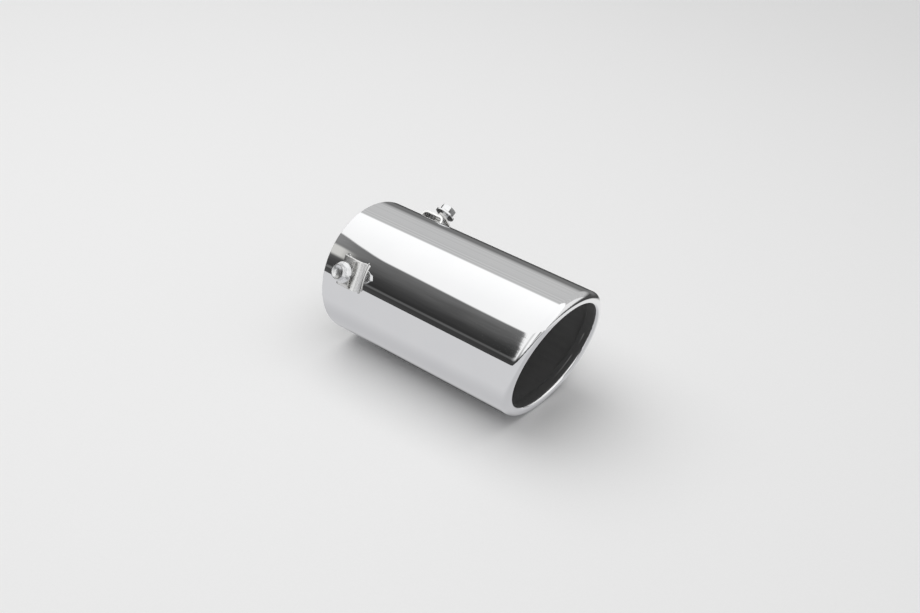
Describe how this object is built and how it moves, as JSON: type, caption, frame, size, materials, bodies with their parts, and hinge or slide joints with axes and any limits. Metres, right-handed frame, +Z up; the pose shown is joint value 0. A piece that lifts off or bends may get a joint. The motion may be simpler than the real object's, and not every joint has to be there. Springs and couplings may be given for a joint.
{
  "type": "exhaust tip",
  "caption": "Round polished exhaust tip with a slash-cut mouth, a rolled-in lip, and strap clamps with flange bolts near the inlet.",
  "frame": {"origin": "centre of the inlet face, on the tube's axis", "axes": "+X along the tube from the inlet to the mouth, +Z up, with the long side of the mouth on top"},
  "size_m": [0.1413, 0.0922, 0.076],
  "materials": {
    "polished_tube": "mirror-polished stainless steel, dull dark grey inside",
    "strap_steel": "bright stainless sheet",
    "clip_steel": "plated spring steel",
    "bolt_steel": "bright zinc-plated steel"
  },
  "bodies": {
    "tip": {"tip_body": "polished_tube", "left_clamp_strap": "strap_steel", "right_clamp_strap": "strap_steel", "left_clip_nut": "clip_steel", "right_clip_nut": "clip_steel"},
    "left_bolt": {"left_clamp_bolt": "bolt_steel"},
    "right_bolt": {"right_clamp_bolt": "bolt_steel"}
  },
  "joints": [
    {"name": "left_bolt_travel", "type": "slide", "parent": "tip", "child": "left_bolt", "axis": [0, -0.866, 0.5], "range_m": [-0.0017, 0.0022]},
    {"name": "right_bolt_travel", "type": "slide", "parent": "tip", "child": "right_bolt", "axis": [0, 0.866, 0.5], "range_m": [-0.0017, 0.0022]}
  ]
}
